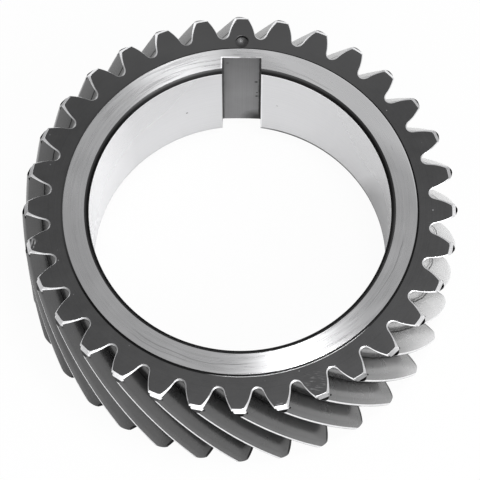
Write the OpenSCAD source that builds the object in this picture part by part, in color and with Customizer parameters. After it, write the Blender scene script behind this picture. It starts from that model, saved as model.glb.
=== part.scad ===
// Crankshaft gear, one piece, in millimetres.
// The axis is +Z and the origin is the centre of the back face.
// The marked front face looks up and the keyway lies towards +Y.

/* [Teeth] */
// number of teeth
teeth = 32; // [31:1:36]
// normal module, tooth size square to the helix
normal_module = 3.5; // [3.4:0.1:3.8]
// helix angle of the left-hand teeth, degrees
helix_angle = 29.5; // [25:0.5:32]
// normal pressure angle, degrees
pressure_angle = 20; // [19:0.5:21]
// profile shift, as a share of the module
profile_shift = 0.17; // [0.12:0.01:0.22]
// tooth height above the shifted pitch circle, as a share of the module
addendum_share = 1; // [0.95:0.01:1.05]
// tooth depth below the shifted pitch circle, as a share of the module
dedendum_share = 1.4; // [1.3:0.01:1.45]
// length of the teeth along the axis
face_width = 47; // [36:0.5:56]

/* [Tooth ends] */
// edge break along the flanks at both ends
flank_break = 0.45; // [0.3:0.05:0.6]
// edge break round the roots at both ends
root_break = 0.7; // [0.4:0.05:0.9]
// depth of both edge breaks along the axis
break_depth = 0.5; // [0.3:0.05:0.7]
// depth along the axis of the chamfer across each tooth tip
tip_chamfer = 1.2; // [1:0.1:1.6]
// height of the steep bevel between tip chamfer and tooth crest
bevel_rise = 0.6; // [0.4:0.05:0.8]
// length of the steep bevel along the axis
bevel_length = 0.8; // [0.6:0.05:1.5]

/* [Tooth form] */
// radial height of the tip relief along both edges of a crest
tip_relief = 1.2; // [1:0.05:1.4]
// width of the crest left between the tip reliefs
crest_width = 0.8; // [0.5:0.1:1.2]
// radial height of the rounded root of a gap
root_round = 1.7; // [1.2:0.1:2]

/* [Locating ring] */
// diameter of the ground ring on the front face
ring_d = 111.4; // [108:0.2:113]
// height of the ring above the front face
ring_step = 0.8; // [0.6:0.1:1.2]
// edge break on the rim of the ring
ring_edge = 0.2; // [0.1:0.05:0.3]
// radius of the fillet where the ring meets the front face
ring_foot = 0.4; // [0.2:0.05:0.4]

/* [Bore] */
// diameter of the press bore
bore_d = 95; // [90:0.5:98]
// radial size of the front bore chamfer
front_chamfer_r = 1.4; // [0.8:0.1:2]
// axial size of the front bore chamfer
front_chamfer_h = 1.2; // [0.8:0.1:2]
// radial size of the large back bore chamfer
back_chamfer_r = 8; // [4:0.5:8.5]
// axial size of the large back bore chamfer
back_chamfer_h = 6; // [3:0.5:8]

/* [Keyway] */
// width of the keyway
key_w = 12.6; // [10:0.1:14]
// depth of the keyway below the bore surface
key_depth = 4.8; // [3.5:0.1:6]

/* [Timing mark] */
// diameter of the blind drilled mark
mark_d = 4.2; // [3:0.1:5]
// distance of the mark from the gear axis
mark_r = 58.6; // [58.2:0.1:59.5]
// depth of the mark to the shoulder of its cone
mark_depth = 1.4; // [0.8:0.1:2.5]
// point angle of the drilled mark, degrees
mark_point = 118; // [90:1:140]

/* [Node] */
// node to draw

/* [Hidden] */
$fn = 180;
// overlap of every cut past the faces it opens
clear = 1;
// points on one involute flank
flank_points = 4;
// steps round one half of a root
root_steps = 3;
// bands of the helix between the two end bevels
helix_bands = 5;
// steps round the fillet at the foot of the ring
foot_steps = 4;

pitch_r = teeth * normal_module / cos(helix_angle) / 2;
tip_r = pitch_r + (addendum_share + profile_shift) * normal_module;
root_r = pitch_r - (dedendum_share - profile_shift) * normal_module;
relief_r = tip_r - tip_relief;
transverse_angle = atan(tan(pressure_angle) / cos(helix_angle));
base_r = pitch_r * cos(transverse_angle);
tooth_step = 360 / teeth;
bore_r = bore_d / 2;
mark_cone = mark_d / 2 / tan(mark_point / 2);
shoulder_r = tip_r - bevel_rise;
bevel_end = tip_chamfer + bevel_length;

// involute function of an angle, in degrees
function inv(a) = tan(a) * 180 / PI - a;

// half angle of a tooth at radius r
function half_angle(r) =
    90 / teeth
    + profile_shift * normal_module * tan(transverse_angle) / pitch_r * 180 / PI
    + inv(transverse_angle) - inv(acos(base_r / r));

// point at radius r and angle a off the centre line of a tooth
function polar(r, a) = [r * sin(a), r * cos(a)];

// flank point i of a flank that ends at radius top
function flank(i, top) =
    let(r = root_r + root_round + (top - root_r - root_round) * i / (flank_points - 1))
    polar(r, half_angle(r));

// point on the relief between flank and crest, or on a flat tip below the relief
function crest_point(top) =
    let(share = (top - relief_r) / tip_relief)
    let(foot = half_angle(relief_r) * relief_r)
    let(crest = crest_width / 2 * 180 / PI)
    (top > relief_r
        ? polar(top, (foot * (1 - share) + crest * share) / top)
        : polar(top, half_angle(top) / 2));

// point where the line p + s * d meets the line through g with direction t
function meet(p, d, g, t) =
    p + d * (((g.x - p.x) * t.y - (g.y - p.y) * t.x) / (d.x * t.y - d.y * t.x));

// quadratic curve from a to c with control point b
function bend(a, b, c, t) = a * (1 - t) * (1 - t) + b * 2 * t * (1 - t) + c * t * t;

// half outline of a tooth from the middle of a gap up to the crest
function half_outline(top) =
    let(end = min(top, relief_r))
    let(p = flank(0, end))
    let(r = norm(p) + 0.05)
    let(d = p - polar(r, half_angle(r)))
    let(g = polar(root_r, tooth_step / 2))
    let(q = meet(p, d, g, [-g.y, g.x]))
    concat(
        [for (i = [0 : root_steps - 1]) bend(g, q, p, i / root_steps)],
        [for (i = [0 : flank_points - 1]) flank(i, end)],
        [crest_point(top)]
    );

// outward normal of an outline at point i
function outward(o, i) =
    let(a = o[max(i - 1, 0)])
    let(b = o[min(i + 1, len(o) - 1)])
    let(n = [a.y - b.y, b.x - a.x])
    (i == 0 ? polar(1, tooth_step / 2) : -n / norm(n));

// edge break at point i of an outline, from the root value to the flank value
function edge_break(i) =
    root_break + (flank_break - root_break) * min(1, i / root_steps);

// half outline drawn back by the edge break
function drawn_back(o) = [for (i = [0 : len(o) - 1]) o[i] - outward(o, i) * edge_break(i)];

// full outline of one tooth, the shared gap point only once
function tooth(o) =
    concat(
        [for (i = [0 : len(o) - 1]) o[i]],
        [for (i = [len(o) - 1 : -1 : 1]) [-o[i].x, o[i].y]]
    );

// turn of the teeth at height z, none at the front face
function twist(z) = (face_width - z) * tan(helix_angle) / pitch_r * 180 / PI;

// ring of all teeth at height z
function ring(o, z) =
    let(t = tooth(o))
    [for (k = [0 : teeth - 1])
        let(a = twist(z) + k * tooth_step)
        for (p = t)
            [p.x * cos(a) - p.y * sin(a), p.x * sin(a) + p.y * cos(a), z]];

// heights and tip radii of the rings of one end, from the face inwards
end_rings = [
    [break_depth, shoulder_r - tip_chamfer + break_depth],
    [tip_chamfer, shoulder_r],
    [bevel_end, tip_r]
];
end_outline = drawn_back(half_outline(end_rings[0][1]));

// toothed blank with both caps, a solid body without the bore
module toothed_blank() {
    helix_length = face_width - 2 * bevel_end;
    rings = concat(
        [ring(end_outline, 0)],
        [for (e = end_rings) ring(half_outline(e[1]), e[0])],
        [for (i = [1 : helix_bands - 1])
            ring(half_outline(tip_r), bevel_end + helix_length * i / helix_bands)],
        [for (i = [2 : -1 : 0])
            ring(half_outline(end_rings[i][1]), face_width - end_rings[i][0])],
        [ring(end_outline, face_width)]
    );
    count = len(rings[0]);
    last = len(rings) - 1;
    points = concat([for (r = rings) each r], [[0, 0, 0], [0, 0, face_width]]);
    bottom_hub = len(points) - 2;
    top_hub = len(points) - 1;
    sides = [for (j = [0 : last - 1]) for (i = [0 : count - 1])
        let(n = (i + 1) % count)
        each [
            [j * count + i, (j + 1) * count + n, j * count + n],
            [j * count + i, (j + 1) * count + i, (j + 1) * count + n]
        ]];
    caps = [for (i = [0 : count - 1])
        let(n = (i + 1) % count)
        each [
            [bottom_hub, i, n],
            [top_hub, last * count + n, last * count + i]
        ]];
    polyhedron(points = points, faces = concat(sides, caps), convexity = 12);
}

// ground ring that stands proud of the front face, with a fillet at its foot
module locating_ring() {
    ring_r = ring_d / 2;
    foot = [for (i = [0 : foot_steps])
        let(a = 90 * i / foot_steps)
        [ring_r + ring_foot * (1 - sin(a)), ring_foot * (1 - cos(a))]];
    translate([0, 0, face_width])
        rotate_extrude()
            polygon(concat(
                [[0, -clear], [ring_r + ring_foot, -clear]],
                foot,
                [
                    [ring_r, ring_step - ring_edge],
                    [ring_r - ring_edge, ring_step],
                    [0, ring_step]
                ]
            ));
}

// bore with its front and back chamfers, as one turned cutter
module bore_cut() {
    top = face_width + ring_step;
    front_slope = front_chamfer_r / front_chamfer_h;
    back_slope = back_chamfer_r / back_chamfer_h;
    rotate_extrude()
        polygon([
            [0, -clear],
            [bore_r + back_chamfer_r + clear * back_slope, -clear],
            [bore_r, back_chamfer_h],
            [bore_r, top - front_chamfer_h],
            [bore_r + front_chamfer_r + clear * front_slope, top + clear],
            [0, top + clear]
        ]);
}

// keyway through the full length of the bore
module keyway_cut() {
    translate([-key_w / 2, 0, -clear])
        cube([key_w, bore_r + key_depth, face_width + ring_step + 2 * clear]);
}

// blind drilled mark on the tooth above the keyway
module timing_mark() {
    translate([0, mark_r, face_width])
        rotate_extrude($fn = 48)
            polygon([
                [0, clear],
                [mark_d / 2, clear],
                [mark_d / 2, -mark_depth],
                [0, -mark_depth - mark_cone]
            ]);
}

// the finished gear
module crankshaft_gear() {
    color("dimgray")
        difference() {
            union() {
                toothed_blank();
                locating_ring();
            }
            bore_cut();
            keyway_cut();
            timing_mark();
        }
}

crankshaft_gear();
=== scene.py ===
"""Crankshaft gear with its ground, turned and hardened surfaces, on a plain studio stage."""

import math

import bmesh
import bpy
from bpy.props import FloatProperty, FloatVectorProperty, IntProperty, PointerProperty
from mathutils import Euler, Matrix, Vector


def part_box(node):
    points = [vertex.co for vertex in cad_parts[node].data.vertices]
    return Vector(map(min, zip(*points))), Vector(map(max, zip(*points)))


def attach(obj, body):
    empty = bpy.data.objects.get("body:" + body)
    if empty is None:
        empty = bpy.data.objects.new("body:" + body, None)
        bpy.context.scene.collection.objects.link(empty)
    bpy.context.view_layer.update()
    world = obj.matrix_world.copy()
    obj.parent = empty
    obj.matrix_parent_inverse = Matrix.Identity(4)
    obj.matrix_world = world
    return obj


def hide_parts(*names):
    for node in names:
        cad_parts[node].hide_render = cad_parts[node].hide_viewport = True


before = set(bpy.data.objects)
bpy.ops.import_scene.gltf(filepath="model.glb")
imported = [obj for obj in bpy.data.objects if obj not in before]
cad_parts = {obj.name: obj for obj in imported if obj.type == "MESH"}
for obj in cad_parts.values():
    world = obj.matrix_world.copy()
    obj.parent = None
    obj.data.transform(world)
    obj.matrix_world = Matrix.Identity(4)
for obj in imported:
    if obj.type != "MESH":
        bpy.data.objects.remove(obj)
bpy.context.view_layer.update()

bl_info = {
    "name": "Crankshaft gear",
    "version": (1, 0, 0),
    "blender": (4, 5, 0),
    "location": "View3D > Sidebar > Gear",
    "description": "Helical crankshaft gear with machined surfaces, and its studio stage",
    "category": "Object",
}

MM = 0.001
NODE = "crankshaft_gear"
NODE_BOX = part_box(NODE)

# mesh detail
LEAD_STEPS = 22
HUB_STEPS_PER_TOOTH = 9
FOOT_STEPS = 5
DRILL_STEPS = 48
SHARP_EDGE = math.radians(28)

# points closer than these are one point
SEAM = 1e-6
WELD = 1e-7

# how far the drilled mark is opened at its mouth
COUNTERSINK = 0.3 * MM

# arc scores on the ground ring: radius in millimetres, middle and half length in degrees, depth
RING_SCORES = (
    (52.6, 254.0, 24.0, 0.9), (51.8, 334.0, 17.0, 0.7), (53.9, 243.0, 13.0, 0.5),
    (51.0, 110.0, 14.0, 0.6), (52.6, 114.0, 12.0, 0.5), (50.4, 66.0, 13.0, 0.4),
)

# sides where an edge gets painted shade (tip chamfers) or painted light (crest bevels): direction
# and half width in degrees, tone
SHADED_CHAMFERS = ((22.0, 17.0, 0.5), (163.0, 26.0, 0.45), (299.0, 19.0, 0.26))
LIT_BEVELS = ((225.0, 42.0, 0.085),)

# the stage, in metres unless the name says otherwise
LAMP_AIM = (0.0, 0.0, 0.03)
FLOOR_GAP = 0.02 * MM
CAMERA_PLACE_MM = (4.082, -373.23, 907.03)
CAMERA_TURN_DEGREES = (22.8606, 0.0, 0.6266)
CAMERA_LENS_MM = 224.06
CAMERA_SENSOR_MM = 36.0


# ---------------------------------------------------------------- sizes and colours


def length(name, description, millimetres):
    """A length that shows in the sidebar in the scene's own unit."""
    return FloatProperty(
        name=name, description=description, default=millimetres * MM,
        unit="LENGTH", subtype="DISTANCE", precision=5,
    )


def angle(name, description, degrees):
    """An angle that shows in the sidebar in degrees."""
    return FloatProperty(
        name=name, description=description, default=math.radians(degrees),
        unit="ROTATION", subtype="ANGLE",
    )


def modules(name, description, value):
    """A size as a share of the module."""
    return FloatProperty(name=name, description=description, default=value, precision=3)


def fraction(name, description, value):
    """A share between none and all."""
    return FloatProperty(
        name=name, description=description, default=value,
        subtype="FACTOR", min=0.0, max=1.0,
    )


def power(name, description, watts):
    """The power of a lamp."""
    return FloatProperty(name=name, description=description, default=watts, unit="POWER")


def colour(name, description, value):
    """A colour that shows as a swatch in the sidebar."""
    return FloatVectorProperty(
        name=name, description=description, default=value,
        subtype="COLOR", size=3, min=0.0, max=1.0,
    )


class GearToothSizes(bpy.types.PropertyGroup):
    """Sizes of the helical teeth."""

    teeth: IntProperty(name="Teeth", description="Number of teeth", default=32, min=12)
    normal_module: length("Normal module", "Tooth size square to the helix", 3.5)
    helix: angle("Helix angle", "Slope of the left-hand teeth", 29.5)
    pressure: angle("Pressure angle", "Normal pressure angle of the flanks", 20)
    shift: modules("Profile shift", "Outward shift of the profile, in modules", 0.17)
    addendum: modules("Addendum", "Tooth height above the shifted pitch circle, in modules", 1.0)
    dedendum: modules("Dedendum", "Gap depth below the shifted pitch circle, in modules", 1.4)
    width: length("Face width", "Length of the teeth along the axis", 47)
    flank_break: length("Flank break", "Edge break along the flanks at both ends", 0.45)
    root_break: length("Root break", "Edge break round the roots at both ends", 0.7)
    break_depth: length("Break depth", "Depth of both edge breaks along the axis", 0.5)
    tip_chamfer: length("Tip chamfer", "Depth of the chamfer across each tip", 1.2)
    bevel_rise: length("Bevel rise", "Height of the steep bevel at a crest's end", 0.6)
    bevel_length: length("Bevel length", "Length of that bevel along the axis", 0.8)
    tip_relief: length("Tip relief", "Radial height of the relief beside a crest", 1.2)
    crest_width: length("Crest width", "Width of the crest between the reliefs", 0.8)
    root_round: length("Root round", "Radial height of the rounded root", 1.7)


class GearHubSizes(bpy.types.PropertyGroup):
    """Sizes of the ground ring, the bore, the keyway and the mark."""

    top: FloatProperty(
        name="Ring top", description="Height of the ground ring's face",
        default=NODE_BOX[1][2], unit="LENGTH", subtype="DISTANCE", precision=5,
    )
    ring_diameter: length("Ring diameter", "Ground ring on the front face", 111.4)
    ring_edge: length("Ring edge", "Edge break on the rim of the ring", 0.16)
    ring_foot: length("Ring foot", "Fillet where the ring meets the face", 0.6)
    bore_diameter: length("Bore diameter", "Diameter of the press bore", 95)
    front_chamfer_radial: length("Front chamfer", "Radial size at the bore mouth", 1.4)
    front_chamfer_axial: length("Front chamfer height", "Axial size at the bore mouth", 1.2)
    back_cone_radial: length("Back cone", "Radial size of the rear lead-in", 8)
    back_cone_axial: length("Back cone height", "Axial size of the rear lead-in", 6)
    key_width: length("Key width", "Width of the keyway", 12.6)
    key_depth: length("Key depth", "Depth of the keyway below the bore", 4.8)
    key_corner: length("Key corner", "Round in the corners of the keyway floor", 0.3)
    mark_diameter: length("Mark diameter", "Diameter of the drilled timing mark", 4.2)
    mark_radius: length("Mark place", "Distance of the mark from the axis", 58.6)
    mark_depth: length("Mark depth", "Depth of the mark to its cone", 1.4)
    mark_point: angle("Mark point", "Point angle of the drill", 118)


class StageSettings(bpy.types.PropertyGroup):
    """The studio round the gear."""

    floor_colour: colour("Floor", "Colour of the plain floor", (0.96, 0.96, 0.96))
    floor_reach: FloatProperty(
        name="Floor reach", description="Half the width of the floor",
        default=4.0, unit="LENGTH", subtype="DISTANCE",
    )
    world_level: FloatProperty(
        name="Soft light", description="Level of the soft light from all round", default=0.45,
    )
    world_slope: fraction(
        "Light side", "How much brighter the light is from the front right", 0.5)
    backdrop_share: fraction(
        "Backdrop in steel", "Share of the white backdrop that the steel mirrors", 0.3)
    floor_white: fraction(
        "Floor white", "Share of pure white in the floor as the camera sees it", 0.95)
    key_power: power("Key light", "Power of the overhead softbox", 2.3)
    side_power: power("Side light", "Power of the softbox at the front right", 2.6)
    front_power: power("Front light", "Power of the wide softbox in front", 3.2)
    back_power: power("Back light", "Power of the low softbox at the back left", 0.8)


# ---------------------------------------------------------------- shader expressions


class Field:
    """A number that varies over a surface. Arithmetic on it adds Math nodes."""

    def __init__(self, finish, socket):
        self.finish = finish
        self.socket = socket

    def math(self, operation, *values):
        settings = {"operation": operation}
        node = self.finish.add("ShaderNodeMath", settings, dict(enumerate(values)))
        return Field(self.finish, node.outputs[0])

    def __add__(self, other):
        return self.math("ADD", self, other)

    def __radd__(self, other):
        return self.math("ADD", other, self)

    def __sub__(self, other):
        return self.math("SUBTRACT", self, other)

    def __rsub__(self, other):
        return self.math("SUBTRACT", other, self)

    def __mul__(self, other):
        return self.math("MULTIPLY", self, other)

    def __rmul__(self, other):
        return self.math("MULTIPLY", other, self)

    def __truediv__(self, other):
        return self.math("DIVIDE", self, other)

    def __rtruediv__(self, other):
        return self.math("DIVIDE", other, self)

    def __pow__(self, other):
        return self.math("POWER", self, other)

    def __abs__(self):
        return self.math("ABSOLUTE", self)

    def at_least(self, other):
        return self.math("MAXIMUM", self, other)

    def at_most(self, other):
        return self.math("MINIMUM", self, other)


class Finish:
    """A node tree under construction, for a steel surface, the floor or the world."""

    def __init__(self, owner):
        owner.use_nodes = True
        self.tree = owner.node_tree
        self.tree.nodes.clear()
        self.place = None

    def add(self, kind, settings=None, sockets=None):
        """Adds a node: its settings first, then the values or links of its sockets."""
        node = self.tree.nodes.new(kind)
        for name, value in (settings or {}).items():
            setattr(node, name, value)
        for key, value in (sockets or {}).items():
            if isinstance(value, Field):
                value = value.socket
            if isinstance(value, bpy.types.NodeSocket):
                self.tree.links.new(value, node.inputs[key])
            else:
                node.inputs[key].default_value = value
        return node

    def object_place(self):
        """Object coordinates, in metres, with one node for the whole surface."""
        if self.place is None:
            self.place = self.add("ShaderNodeTexCoord").outputs["Object"]
        return self.place

    def axes(self):
        node = self.add("ShaderNodeSeparateXYZ", None, {0: self.object_place()})
        return [Field(self, node.outputs[i]) for i in range(3)]

    def radius(self):
        """Distance from the gear axis."""
        x, y, _ = self.axes()
        return (x * x + y * y) ** 0.5

    def towards(self, degrees):
        """Distance from the axis in one direction, counted from the right side of the gear."""
        x, y, _ = self.axes()
        turn = math.radians(degrees)
        return x * math.cos(turn) + y * math.sin(turn)

    def stretched(self, scale, turn=(0.0, 0.0, 0.0)):
        settings = {"vector_type": "POINT"}
        sockets = {"Vector": self.object_place(), "Rotation": turn, "Scale": scale}
        return self.add("ShaderNodeMapping", settings, sockets).outputs[0]

    def noise(self, scale, detail=2.0, roughness=0.5, place=None):
        """Soft cloud pattern between 0 and 1."""
        sockets = {"Vector": place or self.object_place(), "Scale": scale,
                   "Detail": detail, "Roughness": roughness}
        return Field(self, self.add("ShaderNodeTexNoise", None, sockets).outputs[0])

    def lines(self, along, scale, detail=2.0):
        """Pattern between 0 and 1 that changes only along one number."""
        sockets = {"W": along, "Scale": scale, "Detail": detail, "Roughness": 0.6}
        node = self.add("ShaderNodeTexNoise", {"noise_dimensions": "1D"}, sockets)
        return Field(self, node.outputs[0])

    def round_streaks(self, across, along, detail=2.0):
        """Pattern between 0 and 1, fine across the radius and long round the axis."""
        x, y, _ = self.axes()
        radius = self.radius()
        sockets = {0: x / radius * along, 1: y / radius * along, 2: radius * across}
        place = self.add("ShaderNodeCombineXYZ", None, sockets).outputs[0]
        return self.noise(1.0, detail, 0.6, place)

    def cells(self, scale, place=None):
        """Distance to the nearest of many scattered points."""
        sockets = {"Vector": place or self.object_place(), "Scale": scale}
        return Field(self, self.add("ShaderNodeTexVoronoi", None, sockets).outputs[0])

    def step(self, value, low, high):
        """0 below low, 1 above high, and even in between; low may be the larger."""
        sockets = {"Value": value, "From Min": low, "From Max": high}
        return Field(self, self.add("ShaderNodeMapRange", {"clamp": True}, sockets).outputs[0])

    def spot(self, centre, size, core=0.5):
        """1 within the core of a ball round a point in millimetres, fading out to its rim."""
        sockets = {0: self.object_place(), 1: Vector(centre) * MM}
        node = self.add("ShaderNodeVectorMath", {"operation": "DISTANCE"}, sockets)
        away = Field(self, node.outputs["Value"])
        return self.step(away, size * MM, size * MM * core)

    def mix(self, factor, first, second):
        """Colour between two colours or grey levels."""
        sockets = {0: factor, 6: grey(first), 7: grey(second)}
        return self.add("ShaderNodeMix", {"data_type": "RGBA"}, sockets).outputs[2]

    def bump(self, height, depth):
        """Surface relief of a given depth in millimetres."""
        sockets = {"Height": height, "Distance": depth * MM, "Strength": 1.0}
        return self.add("ShaderNodeBump", None, sockets).outputs[0]

    def shade(self, sockets):
        """Ends a steel surface with its shader and output."""
        shader = self.add("ShaderNodeBsdfPrincipled", None, sockets)
        self.add("ShaderNodeOutputMaterial", None, {0: shader.outputs[0]})


def grey(value):
    """A neutral colour from one level, with the faint cool cast of steel; links stay links."""
    if isinstance(value, float):
        return (value, value, min(1.0, value * 1.015), 1.0)
    return value


def steel_finish(name):
    """A new material and the finish that fills it."""
    material = bpy.data.materials.new(name)
    return material, Finish(material)


# ---------------------------------------------------------------- steel surfaces


def hardened_face():
    """Dark hardened steel of the tooth faces, with faint mottling, specks and a few scuffs, and
    painted light over its back part.
    """
    material, f = steel_finish("hardened_face")
    mottling = f.noise(160.0, 4.0, 0.6)
    grain = f.noise(2600.0, 2.0)
    turning = f.lines(f.radius(), 2200.0)
    tone = mottling * 0.45 + grain * 0.3 + turning * 0.25
    specks = f.step(f.cells(330.0), 0.075, 0.04) * f.step(f.noise(90.0), 0.52, 0.6)
    rub_and_glint = f.noise(1.0, 3.0, 0.6, f.stretched((300.0, 3200.0, 1.0), (0.0, 0.0, 0.12)))
    scuffs = f.step(rub_and_glint, 0.56, 0.68) * (
        f.spot((23.6, -57.6, 47.0), 4.4) * 0.6 + f.spot((13.5, -65.2, 47.0), 2.0)
    )
    burr = f.step(f.noise(1.0, 2.0, 0.5, f.stretched((2200.0, 500.0, 1.0))), 0.52, 0.6)
    scuffs = scuffs.at_least(burr * f.spot((-64.9, -12.6, 47.0), 2.2))
    dent = f.spot((60.55, 0.2, 47.0), 0.32) * 0.6
    wear = (specks * 0.7).at_least(scuffs).at_least(dent)
    steel = f.mix(f.step(tone, 0.3, 0.7), 0.062, 0.084)
    # painted light: the back part of the face is lighter
    steel = f.mix(f.step(f.axes()[1], 0.03, 0.056) * 0.8, steel, 0.11)
    base = f.mix(wear, steel, 0.4)
    f.shade({
        "Base Color": base,
        "Metallic": 1.0,
        "Roughness": f.step(tone, 0.2, 0.8) * 0.14 + 0.36,
        "Normal": f.bump(tone - wear * 0.5, 0.012),
    })
    return material


def facing(f, middle, spread):
    """1 on the side of the gear that lies towards a direction, within a half width in degrees."""
    ends = math.cos(math.radians(spread)), math.cos(math.radians(spread * 0.7))
    return f.step(f.towards(middle) / f.radius(), *ends)


def arc_score(f, around, middle, spread):
    """A faint score along the ring at a radius in millimetres, over an arc in degrees."""
    wander = (f.noise(60.0, 2.0) - 0.5) * 3.0 * MM
    line = f.step(abs(f.radius() - around * MM + wander), 0.24 * MM, 0.05 * MM)
    return line * facing(f, middle, spread)


def ground_ring(hub):
    """Bright ring face, turned and ground in fine concentric lines, with a few score marks, a
    sector of painted light, and painted highlights along its rim and the keyway edge.
    """
    material, f = steel_finish("ground_ring")
    radius = f.radius()
    lines = f.lines(radius, 1600.0, 2.0) * 0.65 + f.lines(radius, 500.0, 1.0) * 0.35
    cloud = f.noise(70.0, 2.0)
    streaks = f.round_streaks(1500.0, 4.0)
    tone = lines * 0.25 + cloud * 0.5 + streaks * 0.25
    x, y, _ = f.axes()
    beside = f.step(abs(x), hub.key_width / 2 + 0.5 * MM, hub.key_width / 2 + 0.3 * MM)
    floor = hub.bore_diameter / 2 + hub.key_depth
    above = f.step(y, floor + 0.1 * MM, floor + 0.3 * MM) * f.step(f.noise(600.0), 0.47, 0.62)
    # painted highlight: a bright line along the keyway edge, whole on the left and broken near
    # the top on the right
    slot_edge_highlight = beside * f.step(y, floor + 0.5 * MM, floor + 0.35 * MM) * f.step(y, 0.0, 0.01)
    slot_edge_highlight = slot_edge_highlight * above.at_least(f.step(x, 0.0, -0.001))
    scores = f.step(f.round_streaks(3000.0, 7.0), 0.66, 0.74) * f.step(f.noise(38.0), 0.5, 0.6)
    scores = scores * f.step(f.towards(165.0) / radius, 0.95, 0.7)
    for around, middle, spread, depth in RING_SCORES:
        scores = scores.at_least(arc_score(f, around, middle, spread) * depth)
    # painted light: a lighter sector of the ring towards the back right
    painted_light_sector = f.step(f.towards(52.0), 0.041, 0.0485)
    ground = f.mix(painted_light_sector * 0.8, f.mix(f.step(tone, 0.32, 0.68), 0.46, 0.62), 0.88)
    rim = hub.ring_diameter / 2
    # painted highlight: a bright line at the ring's outer edge, towards the back right
    painted_rim_highlight = f.step(radius, rim - 0.36 * MM, rim - 0.26 * MM)
    painted_rim_highlight = painted_rim_highlight * f.step(f.towards(36.0) / radius, 0.78, 0.92)
    ground = f.mix(painted_rim_highlight, ground, 0.98)
    base = f.mix(slot_edge_highlight, f.mix(scores * 0.55, ground, 0.14), 0.97)
    f.shade({
        "Base Color": base,
        "Metallic": 1.0,
        "Roughness": f.step(streaks, 0.3, 0.7) * 0.1 + 0.24,
        "Anisotropic": 0.93,
        "Anisotropic Rotation": 0.25,
        "Normal": f.bump(lines - scores * 0.5, 0.004),
    })
    return material


def bore_wall(hub):
    """Honed bore wall with very fine lines round it, a lighter band under the mouth chamfer, a
    painted highlight along the keyway's right edge, painted light on the left, and painted shade
    on the right and at the back end.
    """
    material, f = steel_finish("honed_bore")
    x, y, height = f.axes()
    lines = f.lines(height, 1400.0, 3.0)
    cloud = f.noise(22.0, 1.0)
    tone = lines * 0.4 + cloud * 0.6
    chamfer = hub.top - hub.front_chamfer_axial
    rim = f.step(height, chamfer - 0.45 * MM, chamfer - 0.3 * MM)
    # the key side line is a painted highlight along the keyway's right edge; the rim is a lighter
    # band under the mouth chamfer
    key_side = f.step(abs(x), hub.key_width / 2 + 0.5 * MM, hub.key_width / 2 + 0.3 * MM)
    bright = rim.at_least(key_side * f.step(y, 0.0, 0.01) * f.step(x, 0.0, 0.001))
    # painted shade: a dark band at the back end of the bore, strongest on the right
    end = f.step(height, hub.back_cone_axial + 1.1 * MM, hub.back_cone_axial + 0.9 * MM)
    end = end * (f.step(x, 0.0, 0.012) * 0.9 + 0.1)
    pits = f.spot((-17.8, 44.04, 23.6), 0.45) + f.spot((11.6, 46.07, 25.4), 0.4) * 0.5
    honed_lit_and_shaded = f.mix(f.step(tone, 0.3, 0.7), 0.69, 0.78)
    # painted light on the left of the bore wall, painted shade on its right
    honed_lit_and_shaded = f.mix(f.step(x, -0.034, -0.046), honed_lit_and_shaded, 0.97)
    honed_lit_and_shaded = f.mix(f.step(x - height * 0.2, 0.037, 0.0405), honed_lit_and_shaded, 0.44)
    base = f.mix(end.at_least(pits), f.mix(bright, honed_lit_and_shaded, 0.97), 0.09)
    f.shade({
        "Base Color": base,
        "Metallic": 1.0,
        "Roughness": f.step(cloud, 0.3, 0.7) * 0.05 + 0.26,
        "Normal": f.bump(lines, 0.001),
    })
    return material


def turned_steel(name, low, high, roughness, scale=2600.0):
    """Turned surface of revolution, between two tones."""
    material, f = steel_finish(name)
    _, _, height = f.axes()
    lines = f.lines(f.radius() + height * 0.7, scale)
    tone = lines * 0.5 + f.noise(220.0, 3.0) * 0.5
    f.shade({
        "Base Color": f.mix(f.step(tone, 0.3, 0.7), low, high),
        "Metallic": 1.0,
        "Roughness": f.step(tone, 0.3, 0.7) * 0.1 + roughness,
        "Normal": f.bump(lines, 0.004),
    })
    return material


def ring_side(name, rub_and_glint):
    """Dark wall or foot of the ring: painted shade except at the left, where it has the face's
    tone, and on the foot a painted reflection of the key lamp towards the front.
    """
    material, f = steel_finish(name)
    # painted shade: near black except at the left, where it takes the face's tone
    plain = f.mix(f.step(f.towards(155.0) / f.radius(), 0.55, 0.85), 0.015, 0.075)
    # on the foot, a painted reflection of the key lamp in a sector towards the front
    bright = f.step(f.towards(288.0) / f.radius(), 0.88, 0.93) * rub_and_glint
    f.shade({
        "Base Color": f.mix(bright * (f.noise(220.0, 3.0) * 0.4 + 0.75), plain, 0.5),
        "Metallic": 1.0,
        "Roughness": 0.28,
    })
    return material


def bore_chamfer(hub):
    """Dark chamfer at the bore mouth, lighter towards its outer edge."""
    material, f = steel_finish("bore_chamfer")
    radius = f.radius()
    start, size = hub.bore_diameter / 2, hub.front_chamfer_radial
    outer = f.step(radius, start + size * 0.45, start + size)
    lines = f.lines(radius, 5200.0)
    f.shade({
        "Base Color": f.mix(outer * (lines * 0.6 + 0.5), 0.012, 0.09),
        "Metallic": 1.0,
        "Roughness": lines * 0.1 + 0.26,
        "Normal": f.bump(lines, 0.004),
    })
    return material


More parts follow.
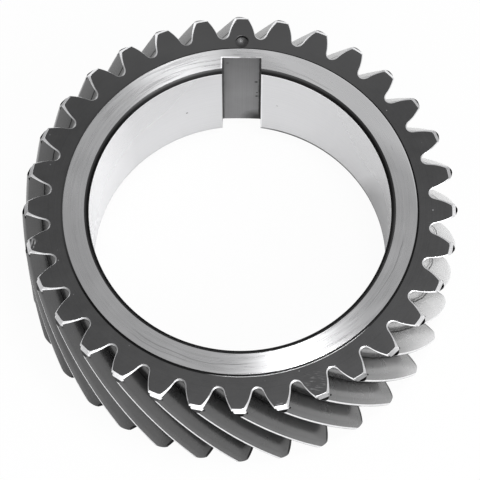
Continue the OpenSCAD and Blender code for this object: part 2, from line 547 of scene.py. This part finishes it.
def ground_flank(tooth):
    """Ground tooth flanks with a polish along the lead, darker down in the root, partly as
    painted shade, with painted shade at the back ends and painted light and glints on the right
    side.
    """
    material, f = steel_finish("ground_flank")
    radius = f.radius()
    lead_lines = f.lines(radius, 900.0, 2.0)
    cloud = f.noise(90.0, 2.0)
    tone = lead_lines * 0.4 + cloud * 0.6
    height = f.step(radius, tooth.pitch - 3.2 * MM, tooth.pitch + 3.6 * MM)
    # a dark line along the start of the root round, with a second one lower down on the right
    # side
    form = tooth.root + tooth.sizes.root_round + f.noise(150.0, 1.0) * 0.7 * MM
    form_line = f.step(abs(radius - form), 0.24 * MM, 0.08 * MM)
    lower_line = f.step(abs(radius - form + 0.8 * MM), 0.16 * MM, 0.04 * MM)
    form_line = form_line.at_least(lower_line * f.step(f.axes()[0], 0.04, 0.05) * 0.7)
    # painted shade: a dark line on the flanks near the tips at the back ends
    back_end = f.step(f.axes()[2], 1.5 * MM, 1.2 * MM)
    back_end = back_end * f.step(radius, tooth.tip - MM, tooth.tip - 2 * MM)
    dark_line = form_line.at_least(back_end) * 0.85
    # light streaks kept to the right side: smears and painted glints
    smears_and_glints = f.step(f.cells(1.0, f.stretched((90.0, 90.0, 240.0))), 0.3, 0.12)
    smears_and_glints = smears_and_glints * f.step(f.noise(55.0), 0.5, 0.6) * f.step(f.axes()[0], 0.04, 0.055)
    pit = f.spot((30.5, -57.6, 14.2), 0.7)
    worked_and_lit = f.mix(f.step(tone, 0.3, 0.7), 0.058, 0.082)
    # painted light: the flanks on the right side are lighter
    worked_and_lit = f.mix(f.step(f.axes()[0], 0.05, 0.06), worked_and_lit, 0.5)
    # darker down in the root: partly the unground root's own tone, partly painted shade
    root = f.mix(f.step(tone, 0.3, 0.7), 0.04, 0.055)
    steel = f.mix(smears_and_glints * 0.5, f.mix(height, root, worked_and_lit), 0.17)
    f.shade({
        "Base Color": f.mix(pit.at_least(dark_line), steel, 0.008),
        "Metallic": 1.0,
        "Roughness": f.step(cloud, 0.3, 0.7) * 0.06 + 0.25 + dark_line * 0.4,
        "Coat Weight": 1.0 - dark_line,
        "Coat Roughness": 0.16,
        "Normal": f.bump(lead_lines, 0.0008),
    })
    return material


def worn_edge(name, low, high, roughness, tooth=None, painted_sides=(), rim_tint=1.0):
    """Cut or deburred edge of the teeth, with small bruises that break its brightness.

    With a tooth, it also gets painted shade in the roots at the left and near black painted shade
    at the back ends. Listed sides get painted shade or painted light.
    """
    material, f = steel_finish(name)
    cloud = f.noise(420.0, 4.0, 0.6)
    bruise = f.step(f.cells(190.0), 0.16, 0.06) * f.step(f.noise(130.0), 0.5, 0.62) * 0.35
    bruise = bruise.at_least(f.spot((-14.9, -64.6, 46.9), 0.9) * f.step(cloud, 0.4, 0.5) * 0.9)
    base = f.mix(bruise, f.mix(f.step(cloud, 0.3, 0.7), low, high), low * 0.4)
    if tooth:
        x, _, height = f.axes()
        # painted shade: darker edge breaks in the roots on the left side
        left_root_shade = f.step(f.radius(), tooth.root + 3.5 * MM, tooth.root) * f.step(x, 0.005, -0.015)
        base = f.mix(left_root_shade * 0.6, base, 0.12)
        # painted shade: near black at the back ends
        base = f.mix(f.step(height, 0.02, 0.01), base, 0.02)
    # painted shade or painted light on the listed sides of the gear
    for middle, spread, level in painted_sides:
        base = f.mix(facing(f, middle, spread), base, level)
    f.shade({
        "Base Color": base,
        "Metallic": 1.0,
        "Specular Tint": grey(rim_tint),
        "Roughness": f.step(cloud, 0.3, 0.7) * 0.12 + roughness,
        "Normal": f.bump(cloud - bruise, 0.016),
    })
    return material


def broached_keyway(hub):
    """Keyway with the long straight lines of a broach, and grime and painted shade in its
    corners.
    """
    material, f = steel_finish("broached_keyway")
    x, y, height = f.axes()
    half = hub.key_width / 2
    lines = f.noise(1.0, 3.0, 0.6, f.stretched((2600.0, 2600.0, 24.0)))
    cloud = f.noise(90.0, 3.0)
    tone = lines * 0.3 + cloud * 0.25 + f.step(height, 0.047, 0.022) * 0.45
    edge = f.noise(300.0, 3.0) * 0.5 * MM
    # the dark bands along both floor corners are painted shade and grime; the smudge and specks
    # are grime
    right = f.step(x + edge, half - 0.6 * MM, half - 0.3 * MM)
    left = f.step(x - edge, -half + 0.45 * MM, -half + 0.1 * MM)
    smudge = f.spot((5.6, 52.3, 3.0), 8.5, 0.0) + f.noise(240.0, 3.0) * 0.5
    smudge = f.step(smudge, 0.5, 1.1) * 0.85
    specks = f.spot((4.7, 52.3, 30.3), 0.7) + f.spot((4.9, 52.3, 19.7), 0.6)
    specks = specks + f.spot((5.0, 52.3, 22.4), 0.4) + f.spot((-4.6, 52.3, 44.0), 0.6) * 0.6
    grime_and_corner_shade = right.at_least(left * 0.7).at_least(smudge).at_least(specks.at_most(1.0))
    clean = f.mix(f.step(tone, 0.2, 0.8), 0.115, 0.3)
    f.shade({
        "Base Color": f.mix(grime_and_corner_shade, clean, 0.022),
        "Metallic": 1.0,
        "Roughness": f.step(tone, 0.3, 0.7) * 0.12 + 0.34,
        "Normal": f.bump(lines - grime_and_corner_shade * 0.3, 0.01),
    })
    return material


def steel_surfaces(tooth, hub):
    """Every surface of the gear, in the order of its material slots."""
    return {
        "hardened_face": hardened_face(),
        "ground_flank": ground_flank(tooth),
        "tooth_crest": worn_edge("tooth_crest", 0.84, 0.95, 0.24),
        # painted shade: the crest bevel is near black with no rim tint, standing in for the dark
        # behind each tip chamfer
        "crest_bevel": worn_edge(
            "crest_bevel", 0.006, 0.016, 0.24, painted_sides=LIT_BEVELS, rim_tint=0.0),
        "tip_chamfer": worn_edge("tip_chamfer", 0.88, 0.97, 0.24, painted_sides=SHADED_CHAMFERS),
        "edge_chamfer": worn_edge("edge_chamfer", 0.78, 0.94, 0.26, tooth=tooth),
        "ground_ring": ground_ring(hub),
        "ring_wall": ring_side("ring_wall", 0.0),
        "ring_foot": ring_side("ring_foot", 1.0),
        "bore_chamfer": bore_chamfer(hub),
        "ring_rim": turned_steel("ring_rim", 0.5, 0.62, 0.26),
        "bore_wall": bore_wall(hub),
        "back_cone": turned_steel("back_cone", 0.3, 0.42, 0.35),
        "keyway": broached_keyway(hub),
        "timing_mark": turned_steel("timing_mark", 0.04, 0.15, 0.34, 5200.0),
    }


# ---------------------------------------------------------------- tooth form


def involute(pressure):
    return math.tan(pressure) - pressure


def polar(radius, turn):
    """Point at a radius and an angle off the centre line of a tooth."""
    return Vector((radius * math.sin(turn), radius * math.cos(turn)))


def bend(first, control, last, t):
    """Point on a quadratic curve."""
    return first * (1 - t) ** 2 + control * (2 * t * (1 - t)) + last * t * t


class ToothForm:
    """Outline of one involute tooth, and its turn along the helix."""

    FLANK_POINTS = 10
    ROOT_STEPS = 6
    RELIEF_STEPS = 4

    def __init__(self, sizes):
        self.sizes = sizes
        module = sizes.normal_module
        self.step = math.tau / sizes.teeth
        self.pitch = sizes.teeth * module / math.cos(sizes.helix) / 2
        self.tip = self.pitch + (sizes.addendum + sizes.shift) * module - 0.002 * MM
        self.root = self.pitch - (sizes.dedendum - sizes.shift) * module
        self.relief = self.tip - sizes.tip_relief
        self.shoulder = self.tip - sizes.bevel_rise
        self.transverse = math.atan(math.tan(sizes.pressure) / math.cos(sizes.helix))
        self.base = self.pitch * math.cos(self.transverse)

    def half_angle(self, radius):
        s = self.sizes
        shift = s.shift * s.normal_module * math.tan(self.transverse) / self.pitch
        return (
            self.step / 4 + shift
            + involute(self.transverse) - involute(math.acos(self.base / radius))
        )

    def flank_point(self, radius):
        return polar(radius, self.half_angle(radius))

    def turn(self, height):
        """Turn of the teeth at a height, none at the front face."""
        return (self.sizes.width - height) * math.tan(self.sizes.helix) / self.pitch

    def relief_points(self, top):
        """Points from the end of the flank to the crest, or along a flat tip below it."""
        steps = self.RELIEF_STEPS
        if top <= self.relief:
            half = self.half_angle(top)
            return [polar(top, half * (1 - 0.5 * i / steps)) for i in range(1, steps + 1)]
        start = self.flank_point(self.relief)
        slope = (start - self.flank_point(self.relief - 0.1 * MM)).normalized()
        control = start + slope * self.sizes.tip_relief * 0.45
        crest = polar(self.tip, self.sizes.crest_width / 2 / self.tip)
        low, high = 0.0, 1.0
        for _ in range(40):
            middle = (low + high) / 2
            if bend(start, control, crest, middle).length < top - 1e-9:
                low = middle
            else:
                high = middle
        return [bend(start, control, crest, high * i / steps) for i in range(1, steps + 1)]

    def half_outline(self, top):
        """Points from the middle of a gap up to the crest."""
        low = self.root + self.sizes.root_round
        end = min(top, self.relief)
        count = self.FLANK_POINTS
        flank = [self.flank_point(low + (end - low) * i / (count - 1)) for i in range(count)]
        start = flank[0]
        slope = start - self.flank_point(start.length + 0.05 * MM)
        gap = polar(self.root, self.step / 2)
        level = Vector((-gap.y, gap.x))
        reach = (gap - start).cross(level) / slope.cross(level)
        control = start + slope * reach
        steps = self.ROOT_STEPS
        root = [bend(gap, control, start, i / steps) for i in range(steps)]
        return root + flank + self.relief_points(top)

    def drawn_back(self, points, factor, breadths):
        """The half outline moved into the steel by a factor of the edge break."""
        s = self.sizes
        moved = []
        for i, point in enumerate(points):
            before, after = points[max(i - 1, 0)], points[min(i + 1, len(points) - 1)]
            outward = Vector((after.y - before.y, before.x - after.x)).normalized()
            if i == 0:
                outward = polar(1, self.step / 2)
            share_up = min(1.0, i / self.ROOT_STEPS)
            amount = s.root_break + (s.flank_break - s.root_break) * share_up
            moved.append(point - outward * amount * factor * breadths[i])
        return moved

    def top_at(self, depth, front):
        """Radius of the tip at a depth behind a face; the back ends are rounded over."""
        s = self.sizes
        if not front:
            reach = s.tip_chamfer + s.bevel_length * 1.5
            left = max(0.0, reach - max(depth, s.break_depth)) / (reach - s.break_depth)
            drop = self.tip - self.shoulder + s.tip_chamfer - s.break_depth
            return self.tip - drop * left ** 2
        if depth >= s.tip_chamfer:
            rise = (depth - s.tip_chamfer) / s.bevel_length * s.bevel_rise
            return min(self.shoulder + rise, self.tip)
        return self.shoulder - s.tip_chamfer + max(depth, s.break_depth)

    def break_shares(self, blunt, count):
        """Depth and breadth of the edge break along a half outline, as shares of their sizes."""
        flank_top = self.ROOT_STEPS + self.FLANK_POINTS - 1
        shares = []
        for i in range(count):
            rise = min(1.0, i / flank_top)
            waist, flare = rise * (1 - rise), rise ** 4
            depth = 0.5 - 0.5 * waist + 0.5 * flare
            if blunt:
                breadth = 0.8 - 0.4 * waist + 0.9 * flare
            else:
                breadth = 0.8 - 0.8 * waist + 0.4 * flare
            over = max(0.0, (i - flank_top) / (count - 1 - flank_top))
            shares.append((depth, breadth + (1.0 - breadth) * over))
        return shares

    def chain(self, depth, factor, front):
        """Points of the whole tooth at a depth behind its front or back face, in their place."""
        s = self.sizes
        half = self.half_outline(self.top_at(depth, front))
        count = len(half)
        in_break = depth < s.break_depth * 1.3
        sides = []
        for blunt in (not front, front):
            shares = self.break_shares(blunt, count) if in_break else [(1.0, 1.0)] * count
            moved = self.drawn_back(half, factor, [breadth for _, breadth in shares])
            sides.append([(point, share) for point, (share, _) in zip(moved, shares)])
        outline = sides[0] + [(Vector((-p.x, p.y)), w) for p, w in reversed(sides[1])]
        placed = []
        for point, weight in outline:
            height = s.width - depth * weight if front else depth * weight
            placed.append((*(Matrix.Rotation(self.turn(height), 2) @ point), height))
        return placed


# ---------------------------------------------------------------- gear mesh


def add_chain(bm, points):
    """A row of points joined by edges. Returns the edges."""
    verts = [bm.verts.new(p) for p in points]
    return [bm.edges.new(pair) for pair in zip(verts, verts[1:])]


def chain_and_points(edges):
    """The points of a row of edges, each once and always in the same order, with the edges."""
    return list(dict.fromkeys(v for e in edges for v in e.verts)) + edges


def tooth_rows(sizes, front):
    """Depths behind a face and the share drawn back there, from the face to the crest."""
    edge, soft, chamfer = sizes.break_depth, 0.05 * MM, sizes.tip_chamfer
    rows = [(0.0, 1.1), (soft, 0.92), (edge - soft, 0.07), (edge + soft, 0.0)]
    if front:
        deeper = (chamfer - soft, chamfer + soft, chamfer + sizes.bevel_length)
    else:
        deeper = [chamfer + sizes.bevel_length * i for i in (-0.5, 0.0, 0.5, 1.0, 1.5)]
    return rows + [(depth, 0.0) for depth in deeper]


def add_tooth(bm, tooth):
    """One tooth from the front face to the back face, as an open shell."""
    sizes = tooth.sizes
    rows, back_rows = tooth_rows(sizes, True), tooth_rows(sizes, False)
    front = [add_chain(bm, tooth.chain(depth, amount, True)) for depth, amount in rows]
    for upper, lower in zip(front, front[1:]):
        bmesh.ops.bridge_loops(bm, edges=upper + lower)
    crest_end = back_rows[-1][0]
    length_down = sizes.width - rows[-1][0] - crest_end
    turn = tooth.turn(crest_end) - tooth.turn(crest_end + length_down)
    swept = bmesh.ops.spin(
        bm, geom=chain_and_points(front[-1]), cent=(0, 0, 0), axis=(0, 0, 1),
        dvec=(0, 0, -length_down / LEAD_STEPS), angle=turn, steps=LEAD_STEPS,
    )
    upper = [e for e in swept["geom_last"] if isinstance(e, bmesh.types.BMEdge)]
    for depth, amount in reversed(back_rows[:-1]):
        lower = add_chain(bm, tooth.chain(depth, amount, False))
        bmesh.ops.bridge_loops(bm, edges=upper + lower)
        upper = lower


def hub_section(sizes, hub):
    """Section of the ring and the bore, from the foot of the ring round to the back face."""
    ring, bore = hub.ring_diameter / 2, hub.bore_diameter / 2
    face, foot = sizes.width, hub.ring_foot
    fillet = [
        (ring + foot * (1 - math.sin(a)), face + foot * 0.35 * (1 - math.cos(a)))
        for a in (math.pi / 2 * i / FOOT_STEPS for i in range(FOOT_STEPS + 1))
    ]
    soft = 0.06 * MM
    inner = bore + hub.front_chamfer_radial
    return fillet + [
        (ring, hub.top - hub.ring_edge),
        (ring - hub.ring_edge * 0.3, hub.top - hub.ring_edge * 0.3),
        (ring - hub.ring_edge, hub.top),
        (inner + soft, hub.top),
        (inner - soft, hub.top - soft),
        (bore, hub.top - hub.front_chamfer_axial),
        (bore, hub.back_cone_axial),
        (bore + hub.back_cone_radial, 0.0),
    ]


def flat_rim(bm, height):
    """Closes the flat face between the hub and the teeth at a height."""
    edges = [
        e for e in bm.edges
        if e.is_boundary and all(abs(v.co.z - height) < WELD for v in e.verts)
    ]
    bmesh.ops.triangle_fill(bm, edges=edges, use_beauty=True, normal=(0, 0, 1))


def gear_body(tooth, hub):
    """The gear without its keyway and its mark."""
    sizes = tooth.sizes
    bm = bmesh.new()
    add_tooth(bm, tooth)
    whole = bm.verts[:] + bm.edges[:] + bm.faces[:]
    bmesh.ops.spin(
        bm, geom=whole, cent=(0, 0, 0), axis=(0, 0, 1), angle=tooth.step * (sizes.teeth - 1),
        steps=sizes.teeth - 1, use_duplicate=True,
    )
    bmesh.ops.remove_doubles(bm, verts=bm.verts[:], dist=SEAM)
    section = add_chain(bm, [(0.0, r, z) for r, z in hub_section(sizes, hub)])
    bmesh.ops.spin(
        bm, geom=chain_and_points(section), cent=(0, 0, 0), axis=(0, 0, 1), angle=math.tau,
        steps=HUB_STEPS_PER_TOOTH * sizes.teeth, use_merge=True,
    )
    flat_rim(bm, sizes.width)
    flat_rim(bm, 0.0)
    return bm


def keyway_cutter(hub):
    """Bar that cuts the keyway, with rounded corners at its floor."""
    floor = hub.bore_diameter / 2 + hub.key_depth
    over = 5 * MM
    bm = bmesh.new()
    bmesh.ops.create_cube(bm, size=1.0)
    bmesh.ops.scale(bm, vec=(hub.key_width, floor, hub.top + 2 * over), verts=bm.verts)
    bmesh.ops.translate(bm, vec=(0, floor / 2, hub.top / 2), verts=bm.verts)
    corners = [
        e for e in bm.edges
        if all(v.co.y > floor * 0.9 for v in e.verts)
        and abs(e.verts[0].co.x - e.verts[1].co.x) < MM
    ]
    bmesh.ops.bevel(
        bm, geom=corners, offset=hub.key_corner, segments=3, affect="EDGES",
        profile=0.5, material=-1,
    )
    return bm


def mark_cutter(sizes, hub):
    """Drill that cuts the timing mark, with its point."""
    radius = hub.mark_diameter / 2
    cone = radius / math.tan(hub.mark_point / 2)
    bm = bmesh.new()
    mouth = radius + COUNTERSINK
    points = [
        (0, 0, MM), (0, mouth, MM), (0, mouth, 0.06 * MM),
        (0, radius, -0.12 * MM), (0, radius, -hub.mark_depth), (0, 0, -hub.mark_depth - cone),
    ]
    section = add_chain(bm, points)
    bmesh.ops.spin(
        bm, geom=bm.verts[:] + section, cent=(0, 0, 0), axis=(0, 0, 1),
        angle=math.tau, steps=DRILL_STEPS, use_merge=True,
    )
    bmesh.ops.remove_doubles(bm, verts=bm.verts[:], dist=WELD)
    bmesh.ops.translate(bm, vec=(0, hub.mark_radius, sizes.width), verts=bm.verts)
    return bm


def make_object(name, bm):
    """An object at the origin from a bmesh, with its faces pointing outwards."""
    bmesh.ops.recalc_face_normals(bm, faces=bm.faces[:])
    mesh = bpy.data.meshes.new(name)
    bm.to_mesh(mesh)
    bm.free()
    piece = bpy.data.objects.new(name, mesh)
    bpy.context.scene.collection.objects.link(piece)
    return piece


def cut(piece, cutters):
    """Cuts the cutters out of the piece and removes them."""
    for cutter in cutters:
        modifier = piece.modifiers.new("cut", "BOOLEAN")
        modifier.operation = "DIFFERENCE"
        modifier.solver = "EXACT"
        modifier.object = cutter
    graph = bpy.context.evaluated_depsgraph_get()
    result = bpy.data.meshes.new_from_object(piece.evaluated_get(graph))
    piece.modifiers.clear()
    piece.data = result
    for cutter in cutters:
        bpy.data.objects.remove(cutter)


def surface_of(face, tooth, hub):
    """Name of the steel surface that a face belongs to."""
    sizes = tooth.sizes
    x, y, z = face.calc_center_median()
    nx, ny, nz = face.normal
    radius = math.hypot(x, y)
    depth = min(z, sizes.width - z)
    bore, ring = hub.bore_diameter / 2, hub.ring_diameter / 2
    near = 0.03 * MM
    outward = (nx * x + ny * y) / radius
    from_mark = math.hypot(x, y - hub.mark_radius)
    if from_mark < hub.mark_diameter / 2 + COUNTERSINK - 0.01 * MM:
        if sizes.width - 4 * MM < z < sizes.width - 0.001 * MM:
            return "timing_mark"
    in_slot = abs(x) < hub.key_width / 2 + near and y > 0
    if in_slot and abs(nz) < 0.1 and bore - 2 * MM < radius < bore + 6 * MM:
        if abs(nx) > 0.9 or y > bore + hub.key_depth - hub.key_corner - near:
            return "keyway"
    if radius < ring + hub.ring_foot:
        if nz > 0.9 and z > hub.top - near:
            return "ground_ring"
        if outward < -0.9:
            return "bore_wall"
        if nz > 0.2 and outward < 0 and z > sizes.width / 2:
            return "bore_chamfer"
        if nz < -0.2 and outward < 0:
            return "back_cone"
        if z > hub.top - hub.ring_edge:
            return "ring_rim"
        if z > sizes.width + hub.ring_foot * 0.03:
            return "ring_wall"
        if z > sizes.width + near * 0.1:
            return "ring_foot"
    if abs(nz) > 0.95:
        return "hardened_face"
    bevelled = outward > 0.45 and nz > 0.35 and radius > tooth.relief - 0.5 * MM
    if bevelled and sizes.width - z < sizes.tip_chamfer + sizes.bevel_length + near:
        return "tip_chamfer" if depth < sizes.tip_chamfer - near else "crest_bevel"
    if depth < sizes.break_depth + near:
        return "edge_chamfer"
    if radius > tooth.tip - 0.02 * MM and outward > 0.97:
        return "tooth_crest"
    return "ground_flank"


def dress(piece, tooth, hub):
    """Gives every face its steel surface, and sets which edges shade as sharp."""
    surfaces = steel_surfaces(tooth, hub)
    order = list(surfaces)
    mesh = piece.data
    mesh.materials.clear()
    for material in surfaces.values():
        mesh.materials.append(material)
    bm = bmesh.new()
    bm.from_mesh(mesh)
    bmesh.ops.remove_doubles(bm, verts=bm.verts[:], dist=WELD)
    bmesh.ops.recalc_face_normals(bm, faces=bm.faces[:])
    bm.normal_update()
    open_edges = [e for e in bm.edges if len(e.link_faces) != 2]
    if open_edges:
        raise RuntimeError(f"the gear isn't closed: {len(open_edges)} open edges")
    for face in bm.faces:
        face.material_index = order.index(surface_of(face, tooth, hub))
        face.smooth = True
    for edge in bm.edges:
        edge.smooth = edge.calc_face_angle(0.0) <= SHARP_EDGE
    bm.to_mesh(mesh)
    bm.free()


# ---------------------------------------------------------------- operators


class GEAR_OT_helical_ring(bpy.types.Operator):
    """Build the toothed ring with its bore, keyway and timing mark"""

    bl_idname = "gear.helical_ring"
    bl_label = "Helical ring gear"

    def execute(self, context):
        tooth = ToothForm(context.scene.gear_teeth)
        hub = context.scene.gear_hub
        piece = make_object("helical_ring_gear", gear_body(tooth, hub))
        cutters = [
            make_object("keyway_cutter", keyway_cutter(hub)),
            make_object("mark_cutter", mark_cutter(tooth.sizes, hub)),
        ]
        cut(piece, cutters)
        dress(piece, tooth, hub)
        weighted = piece.modifiers.new("even_normals", "WEIGHTED_NORMAL")
        weighted.keep_sharp = True
        weighted.weight = 60
        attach(piece, "root")
        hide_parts(NODE)
        return {"FINISHED"}


def soft_box(name, place, width, height, watts):
    """An area lamp that looks at the gear."""
    lamp = bpy.data.lights.new(name, "AREA")
    lamp.shape = "RECTANGLE"
    lamp.size = width
    lamp.size_y = height
    lamp.energy = watts
    box = bpy.data.objects.new(name, lamp)
    bpy.context.scene.collection.objects.link(box)
    box.location = place
    box.rotation_euler = (Vector(LAMP_AIM) - Vector(place)).to_track_quat("-Z", "Y").to_euler()


def backdrop(f, share):
    """Whiteness of the backdrop: full for camera rays, a share for mirror and glass rays."""
    path = f.add("ShaderNodeLightPath").outputs
    camera, glossy, glass = (
        Field(f, path[name]) for name in
        ("Is Camera Ray", "Is Glossy Ray", "Is Transmission Ray")
    )
    return camera.at_least(glossy.at_least(glass) * share)


class GEAR_OT_stage(bpy.types.Operator):
    """Set up the floor, the soft light and the camera"""

    bl_idname = "gear.stage"
    bl_label = "Studio stage"

    def execute(self, context):
        stage = context.scene.gear_stage
        self.make_floor(stage)
        self.make_world(context.scene, stage)
        self.make_lamps(stage)
        self.make_camera(context.scene)
        context.scene.view_settings.view_transform = "Standard"
        return {"FINISHED"}

    def make_floor(self, stage):
        bm = bmesh.new()
        bmesh.ops.create_grid(bm, x_segments=1, y_segments=1, size=stage.floor_reach)
        bmesh.ops.translate(bm, vec=(0, 0, -FLOOR_GAP), verts=bm.verts)
        floor = make_object("studio_floor", bm)
        material, f = steel_finish("studio_floor")
        matt = f.add("ShaderNodeBsdfDiffuse", None, {"Color": (*stage.floor_colour, 1.0)})
        white = f.add("ShaderNodeEmission", None, {"Color": (1, 1, 1, 1), "Strength": 1.0})
        factor = backdrop(f, stage.backdrop_share).at_most(stage.floor_white)
        both = f.add("ShaderNodeMixShader", None,
                     {0: factor, 1: matt.outputs[0], 2: white.outputs[0]})
        f.add("ShaderNodeOutputMaterial", None, {0: both.outputs[0]})
        floor.data.materials.append(material)

    def make_world(self, scene, stage):
        world = bpy.data.worlds.new("studio_light")
        scene.world = world
        f = Finish(world)
        node = f.add("ShaderNodeSeparateXYZ", None,
                     {0: f.add("ShaderNodeTexCoord").outputs["Generated"]})
        right, back = Field(f, node.outputs[0]), Field(f, node.outputs[1])
        side = (right * 0.75 - back * 0.65) * stage.world_slope + 1.0
        share = backdrop(f, stage.backdrop_share)
        level = side * stage.world_level * (1.0 - share) + share
        light = f.add("ShaderNodeBackground", None, {"Color": (1, 1, 1, 1), "Strength": level})
        f.add("ShaderNodeOutputWorld", None, {0: light.outputs[0]})

    def make_lamps(self, stage):
        soft_box("key_softbox", (0.155, -0.06, 0.9), 0.17, 0.17, stage.key_power)
        soft_box("right_softbox", (0.48, -0.56, 0.6), 0.6, 0.6, stage.side_power)
        soft_box("front_softbox", (-0.1, -0.85, 0.48), 1.5, 0.75, stage.front_power)
        soft_box("back_softbox", (-0.6, 0.62, 0.32), 0.7, 0.35, stage.back_power)

    def make_camera(self, scene):
        data = bpy.data.cameras.new("photo_view")
        data.sensor_width = CAMERA_SENSOR_MM
        data.lens = CAMERA_LENS_MM
        data.clip_start = 0.01
        camera = bpy.data.objects.new("photo_view", data)
        scene.collection.objects.link(camera)
        camera.location = [place * MM for place in CAMERA_PLACE_MM]
        camera.rotation_euler = Euler([math.radians(a) for a in CAMERA_TURN_DEGREES])
        scene.camera = camera


class GEAR_PT_panel(bpy.types.Panel):
    """Sidebar panel that lists the steps of the gear"""

    bl_idname = "GEAR_PT_panel"
    bl_label = "Crankshaft gear"
    bl_space_type = "VIEW_3D"
    bl_region_type = "UI"
    bl_category = "Gear"

    def draw(self, context):
        for operator in OPERATORS:
            self.layout.operator(operator.bl_idname)
        for group in ("gear_teeth", "gear_hub", "gear_stage"):
            settings = getattr(context.scene, group)
            box = self.layout.box()
            for name in settings.__annotations__:
                box.prop(settings, name)


OPERATORS = (GEAR_OT_helical_ring, GEAR_OT_stage)
CLASSES = (GearToothSizes, GearHubSizes, StageSettings, *OPERATORS, GEAR_PT_panel)


def register():
    for item in CLASSES:
        bpy.utils.register_class(item)
    bpy.types.Scene.gear_teeth = PointerProperty(type=GearToothSizes)
    bpy.types.Scene.gear_hub = PointerProperty(type=GearHubSizes)
    bpy.types.Scene.gear_stage = PointerProperty(type=StageSettings)


def unregister():
    for name in ("gear_teeth", "gear_hub", "gear_stage"):
        delattr(bpy.types.Scene, name)
    for item in reversed(CLASSES):
        bpy.utils.unregister_class(item)


def main():
    register()
    bpy.ops.gear.helical_ring()
    bpy.ops.gear.stage()


if __name__ == "__main__":
    main()
